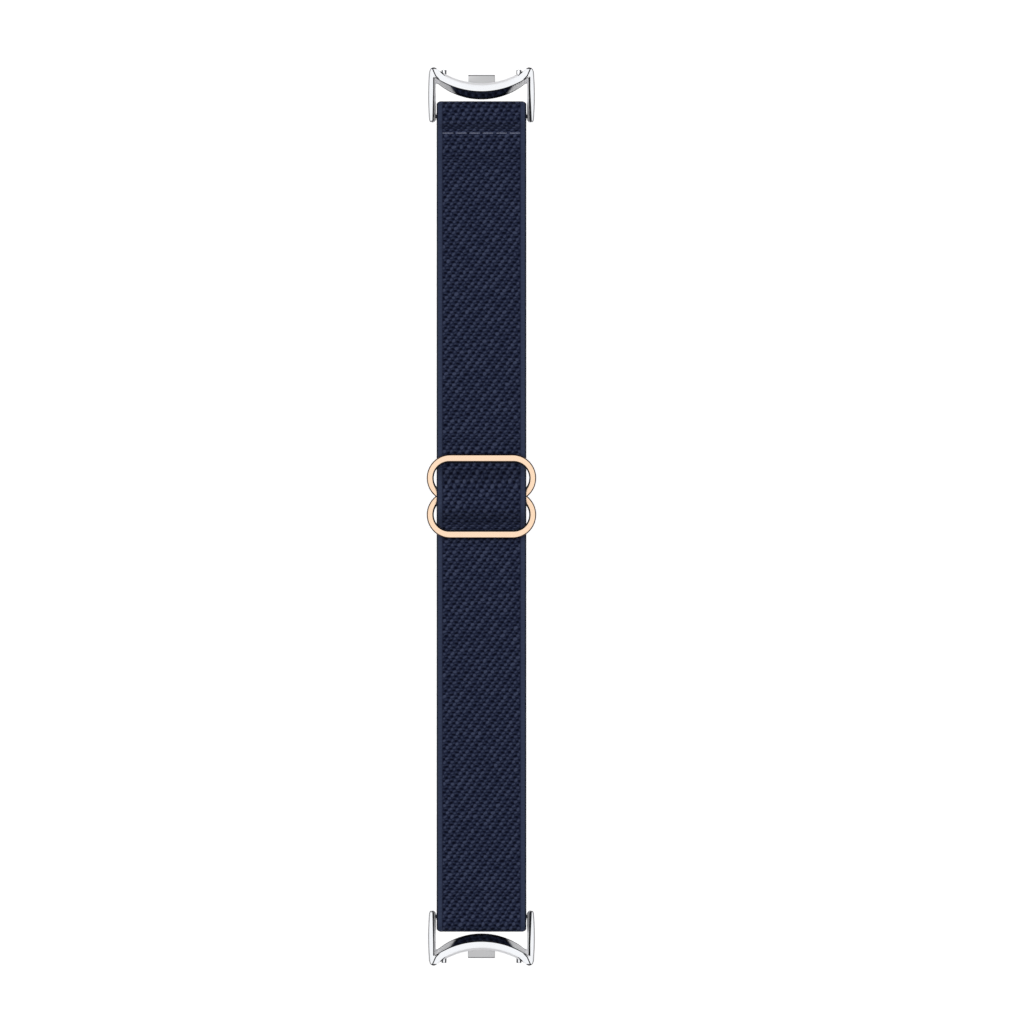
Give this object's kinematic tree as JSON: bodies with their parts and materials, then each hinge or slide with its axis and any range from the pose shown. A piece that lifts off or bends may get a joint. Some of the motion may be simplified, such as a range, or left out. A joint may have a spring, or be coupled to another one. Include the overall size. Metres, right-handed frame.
{
  "type": "fitness tracker band",
  "caption": "Adjustable woven elastic wrist band with a sliding ring buckle and hinged end connectors that plug into a round-ended tracker.",
  "frame": {"origin": "middle of the flat band's footprint, on the surface it lies on", "axes": "+Y along the strap towards the sewn end A, +X across the strap, +Z out of the face that shows on the wrist"},
  "size_m": [0.0236, 0.195, 0.0069],
  "materials": {
    "webbing": "navy woven elastic nylon, twill face with smooth selvages",
    "thread": "grey-blue sewing thread",
    "rose_gold": "rose gold plate, softly polished",
    "polished_chrome": "bright polished plate",
    "satin_steel": "satin stainless steel",
    "dark_steel": "dark satin steel"
  },
  "bodies": {
    "strap_mid": {"webbing_mid": "webbing"},
    "strap_a_1": {"webbing_upper_1": "webbing"},
    "strap_a_2": {"webbing_upper_2": "webbing"},
    "strap_a_3": {"webbing_upper_3": "webbing"},
    "strap_a_end": {"webbing_loop_a": "webbing", "seam_thread_a": "thread"},
    "slider": {"slider_frame": "rose_gold", "webbing_tail_loop": "webbing", "webbing_bridge": "webbing"},
    "strap_b_1": {"webbing_front_1": "webbing", "webbing_back_1": "webbing"},
    "strap_b_2": {"webbing_front_2": "webbing", "webbing_back_2": "webbing"},
    "strap_b_3": {"webbing_front_3": "webbing", "webbing_back_3": "webbing"},
    "strap_b_4": {"webbing_front_4": "webbing", "webbing_back_4": "webbing"},
    "strap_b_5": {"webbing_front_5": "webbing", "webbing_back_5": "webbing"},
    "strap_b_end": {"webbing_loop_b": "webbing"},
    "fitting_a": {"connector_a": "polished_chrome", "tongue_a": "satin_steel", "dowel_a_left": "satin_steel", "dowel_a_right": "satin_steel", "spring_bar_a": "dark_steel", "bar_spring_a": "satin_steel"},
    "fitting_b": {"connector_b": "polished_chrome", "tongue_b": "satin_steel", "dowel_b_left": "satin_steel", "dowel_b_right": "satin_steel", "spring_bar_b": "dark_steel", "bar_spring_b": "satin_steel"},
    "tip_a_left": {"bar_tip_a_left": "dark_steel"},
    "tip_a_right": {"bar_tip_a_right": "dark_steel"},
    "tip_b_left": {"bar_tip_b_left": "dark_steel"},
    "tip_b_right": {"bar_tip_b_right": "dark_steel"}
  },
  "joints": [
    {"name": "curl_a_1", "type": "hinge", "parent": "strap_mid", "child": "strap_a_1", "pos_m": [0, 0.045, 0], "axis": [-1, 0, 0], "range_deg": [0, 30], "stiffness_Nm_per_rad": 0.002},
    {"name": "curl_a_2", "type": "hinge", "parent": "strap_a_1", "child": "strap_a_2", "pos_m": [0, 0.0535, 0], "axis": [-1, 0, 0], "range_deg": [0, 30], "stiffness_Nm_per_rad": 0.002},
    {"name": "curl_a_3", "type": "hinge", "parent": "strap_a_2", "child": "strap_a_3", "pos_m": [0, 0.062, 0], "axis": [-1, 0, 0], "range_deg": [0, 30], "stiffness_Nm_per_rad": 0.002},
    {"name": "curl_a_4", "type": "hinge", "parent": "strap_a_3", "child": "strap_a_end", "pos_m": [0, 0.0705, 0], "axis": [-1, 0, 0], "range_deg": [0, 30], "stiffness_Nm_per_rad": 0.002},
    {"name": "slider_slide", "type": "slide", "parent": "strap_mid", "child": "slider", "axis": [0, 1, 0], "range_m": [-0.01, 0.01], "deforming": ["webbing_mid"]},
    {"name": "strap_b_slide", "type": "slide", "parent": "slider", "child": "strap_b_1", "axis": [0, 1, 0], "range_m": [-0.005, 0.005], "deforming": ["webbing_front_1", "webbing_back_1"]},
    {"name": "curl_b_1", "type": "hinge", "parent": "strap_b_1", "child": "strap_b_2", "pos_m": [0, -0.024, 0], "axis": [1, 0, 0], "range_deg": [0, 26], "stiffness_Nm_per_rad": 0.002},
    {"name": "curl_b_2", "type": "hinge", "parent": "strap_b_2", "child": "strap_b_3", "pos_m": [0, -0.0355, 0], "axis": [1, 0, 0], "range_deg": [0, 26], "stiffness_Nm_per_rad": 0.002},
    {"name": "curl_b_3", "type": "hinge", "parent": "strap_b_3", "child": "strap_b_4", "pos_m": [0, -0.047, 0], "axis": [1, 0, 0], "range_deg": [0, 26], "stiffness_Nm_per_rad": 0.002},
    {"name": "curl_b_4", "type": "hinge", "parent": "strap_b_4", "child": "strap_b_5", "pos_m": [0, -0.0585, 0], "axis": [1, 0, 0], "range_deg": [0, 26], "stiffness_Nm_per_rad": 0.002},
    {"name": "curl_b_5", "type": "hinge", "parent": "strap_b_5", "child": "strap_b_end", "pos_m": [0, -0.07, 0], "axis": [1, 0, 0], "range_deg": [0, 26], "stiffness_Nm_per_rad": 0.002},
    {"name": "connector_a_swing", "type": "hinge", "parent": "strap_a_end", "child": "fitting_a", "pos_m": [0, 0.0865, 0.00235], "axis": [-1, 0, 0], "range_deg": [-90, 90]},
    {"name": "connector_b_swing", "type": "hinge", "parent": "strap_b_end", "child": "fitting_b", "pos_m": [0, -0.0865, 0.00235], "axis": [1, 0, 0], "range_deg": [-90, 90]},
    {"name": "tip_a_left_press", "type": "slide", "parent": "fitting_a", "child": "tip_a_left", "axis": [1, 0, 0], "range_m": [0, 0.001], "stiffness_N_per_m": 800, "deforming": ["bar_spring_a"]},
    {"name": "tip_a_right_press", "type": "slide", "parent": "fitting_a", "child": "tip_a_right", "axis": [-1, 0, 0], "range_m": [0, 0.001], "stiffness_N_per_m": 800},
    {"name": "tip_b_left_press", "type": "slide", "parent": "fitting_b", "child": "tip_b_left", "axis": [1, 0, 0], "range_m": [0, 0.001], "stiffness_N_per_m": 800, "deforming": ["bar_spring_b"]},
    {"name": "tip_b_right_press", "type": "slide", "parent": "fitting_b", "child": "tip_b_right", "axis": [-1, 0, 0], "range_m": [0, 0.001], "stiffness_N_per_m": 800}
  ],
  "couplings": [
    {"joint": "curl_a_2", "follows": "curl_a_1", "ratio": 1},
    {"joint": "curl_a_3", "follows": "curl_a_1", "ratio": 1},
    {"joint": "curl_a_4", "follows": "curl_a_1", "ratio": 1},
    {"joint": "curl_b_2", "follows": "curl_b_1", "ratio": 1},
    {"joint": "curl_b_3", "follows": "curl_b_1", "ratio": 1},
    {"joint": "curl_b_4", "follows": "curl_b_1", "ratio": 1},
    {"joint": "curl_b_5", "follows": "curl_b_1", "ratio": 1},
    {"joint": "strap_b_slide", "follows": "slider_slide", "ratio": -0.5}
  ]
}
